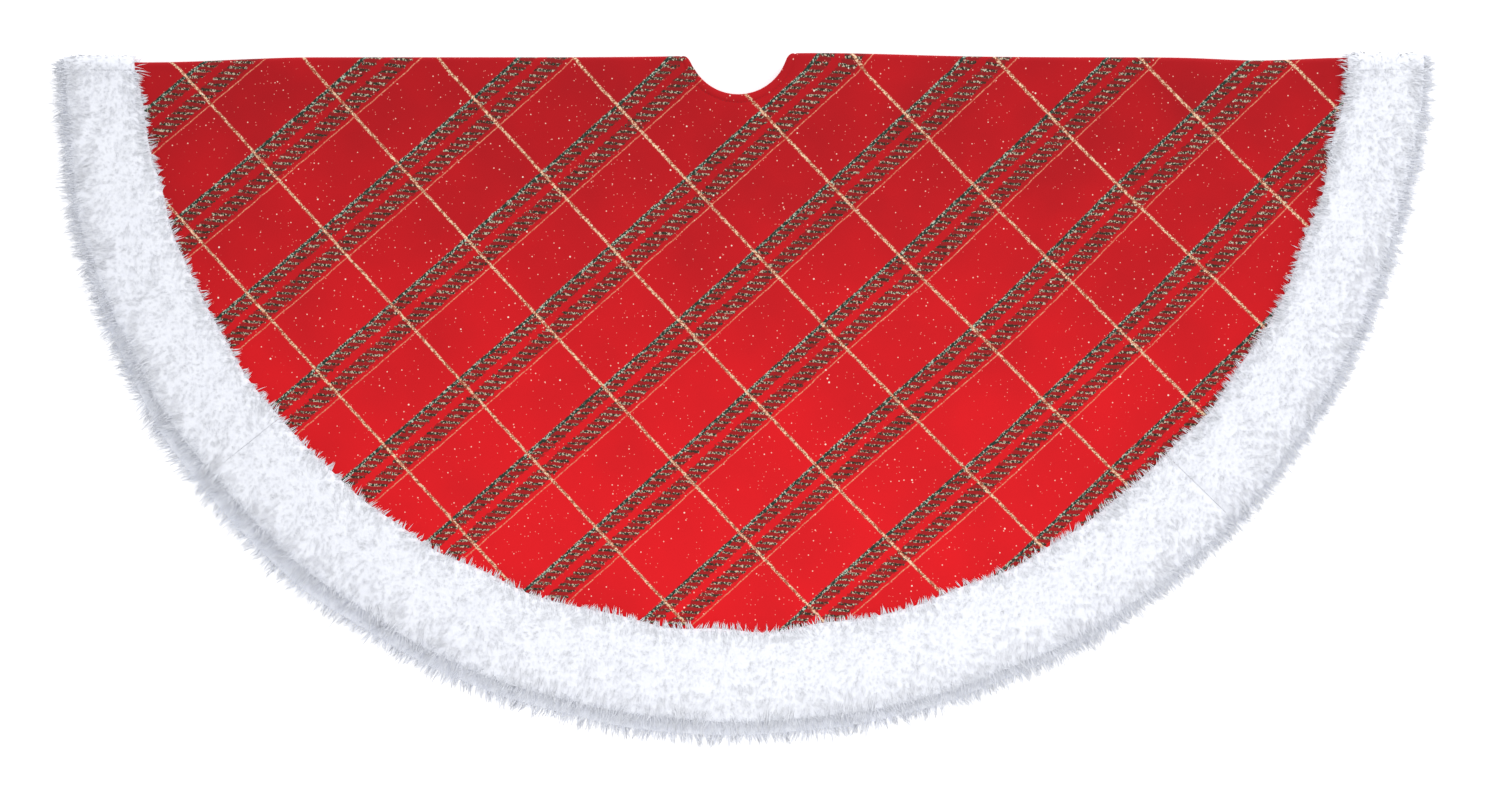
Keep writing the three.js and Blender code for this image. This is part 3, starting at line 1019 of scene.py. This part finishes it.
PIECE_LENGTH, PIECE_CORNER = 60 * MM, 3 * MM
CLOSURE = {    # where, side, material, heights of the tape, and of the field of hooks or loops, and its pitch
    "hook": ("left", -1, HOOK, (0.15 * MM, 0.7 * MM), 0.15 * MM, -0.5 * MM, 1.6 * MM),
    "loop": ("right", 1, LOOP, (4.3 * MM, 4.9 * MM), 4.9 * MM, 5.6 * MM, 1.25 * MM),
}


def closure_field(kind, index, middle_v):
    """The hooks or the loops on one piece of the closure."""
    where, side, material, _, surface, tip, pitch = CLOSURE[kind]
    rng = np.random.default_rng(300 + 10 * index + side)
    inner = HOLE_X + side * (SLIT / 2 + TAPE_IN)
    columns, rows = int(22.6 * MM / pitch), int(57 * MM / pitch)
    u = inner + side * (1.2 * MM + pitch * (np.arange(columns) + 0.5))
    v = middle_v + (np.arange(rows) - (rows - 1) / 2) * pitch
    u, v = (grid.ravel() for grid in np.meshgrid(u, v))
    if kind == "loop":
        u = u + rng.uniform(-0.5, 0.5, len(u)) * pitch
        v = v + rng.uniform(-0.5, 0.5, len(u)) * pitch
        bend_u, bend_v = rng.uniform(-1.1, 1.1, (2, len(u))) * MM
    else:
        bend_u, bend_v = 0.5 * MM * np.where(np.arange(len(u)) % 2, 1, -1), 0 * u
    half = EDGES[where][0]
    height = tip - surface
    points = [place(half, u, v, surface - 0.2 * height),
              place(half, u + 0.3 * bend_u, v + 0.3 * bend_v, surface + 0.75 * height),
              place(half, u + bend_u, v + bend_v, surface + height * (0.9 if kind == "hook" else 1))]
    field = tubes(f"{kind}_field_{index + 1}", *points, np.full(len(u), 0.16 * MM), rng)
    field.data.materials[0] = material
    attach(field, BODY[where])
    return field


def closure(kind, index):
    """One hook or loop piece by the slit, its corners rounded, with its hooks or loops."""
    where, side, material, span, *_ = CLOSURE[kind]
    middle_v = HOLE + (90 + 165 * index) * MM
    along = np.linspace(-1, 1, 25) * PIECE_LENGTH / 2
    spare = np.maximum(np.abs(along) - (PIECE_LENGTH / 2 - PIECE_CORNER), 0)
    inset = PIECE_CORNER - np.sqrt(np.maximum(PIECE_CORNER ** 2 - spare ** 2, 0))
    width = SLIT_TAPE - 2 * inset
    across = np.linspace(0, 1, 15)
    u = HOLE_X + side * (SLIT / 2 + TAPE_IN + inset[:, None] + width[:, None] * across[None, :])
    v = middle_v + along[:, None] + 0 * u
    if side > 0:
        u, v = u[::-1], v[::-1]
    ob = tape_piece(f"{kind}_tape_cloth_{index + 1}", where, u, v, span, material,
                    f"{kind}_tape_{index + 1}")
    field = closure_field(kind, index, middle_v)


def stitches(name, where, u, v):
    """A row of short raised stitches along a line of (u, v) on the face."""
    half = EDGES[where][0]
    steps = np.hypot(np.diff(u), np.diff(v))
    way = np.concatenate([[0], np.cumsum(steps)])
    pitch, length = 3.4 * MM, 2.7 * MM
    starts = np.arange(0.5 * pitch, way[-1] - pitch, pitch)
    ends = starts + length
    su, sv = np.interp(starts, way, u), np.interp(starts, way, v)
    eu, ev = np.interp(ends, way, u), np.interp(ends, way, v)
    mu, mv = (su + eu) / 2, (sv + ev) / 2
    distance = finished_distance(half, mu, mv)
    _, high = layer_heights("face", distance)
    level = high + half * pucker(distance, mu, mv)
    first = place(half, su, sv, level - 0.15 * MM)
    last = place(half, eu, ev, level - 0.15 * MM)
    middle = place(half, mu, mv, level + 0.25 * MM)
    along = last - first
    along /= np.linalg.norm(along, axis=1)[:, None]
    sideways = np.cross(along, np.array([0, 0, 1.0])) * 0.28 * MM
    up = np.array([0, 0, 0.22 * MM])
    points = np.stack([first, middle + sideways, middle + up, middle - sideways, middle - up, last], 1)
    base = 6 * np.arange(len(starts))[:, None]
    faces = []
    for k in range(4):
        following = 1 + (k + 1) % 4
        faces += [base + [0, 1 + k, following], base + [5, following, 1 + k]]
    ob = mesh_object(name, points.reshape(-1, 3), [np.concatenate(faces)[:, ::-1]], THREAD)
    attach(ob, BODY[where])


def make_stitching():
    for where in EDGES:
        edges = EDGES[where][1]
        circle = (HOLE_X, HOLE + HEM)
        angle = np.linspace(edges[0](circle), edges[1](circle), 200)
        u, v = circle[1] * np.cos(angle), circle[1] * np.sin(angle)
        if where != "front":           # the rows at the neck and at the slit meet at a corner
            clear = np.abs(u) > SLIT / 2 + HEM
            u, v = u[clear], v[clear]
        stitches(f"{where}_neck_stitching", where, HOLE_X + u, v)
    for where, side in (("left", -1), ("right", 1)):
        v = np.linspace(HOLE + HEM, FUR_INNER, 400)
        u = np.full(400, HOLE_X + side * (SLIT / 2 + HEM))
        stitches(f"{where}_slit_stitching", where, u, v)


# ---- scene
def make_floor():
    bpy.ops.mesh.primitive_plane_add(size=14, location=(0, 0, 0))
    floor = bpy.context.object
    floor.name = "floor"
    g = Graph("floor")
    patches = g.noise(g.node("TexCoord").outputs["Object"], 3.0)
    g.set(Base_Color=g.mix(patches, (0.90, 0.90, 0.905, 1), (0.93, 0.93, 0.935, 1)), Roughness=0.9,
          Specular_IOR_Level=0.1, Emission_Color=(1, 1, 1, 1), Emission_Strength=0.42)
    floor.data.materials.append(g.material)


make_camera()
make_lights()
make_floor()
for where in EDGES:
    panel(where, "lining")
    panel(where, "face")
    neck_tape(where)
for where, side, kind in (("left", -1, "hook"), ("right", 1, "loop")):
    fold_strip(side, "lining")
    fold_strip(side, "face")
    slit_tape(where, side)
    for index in range(3):
        closure(kind, index)
make_stitching()
make_fur()
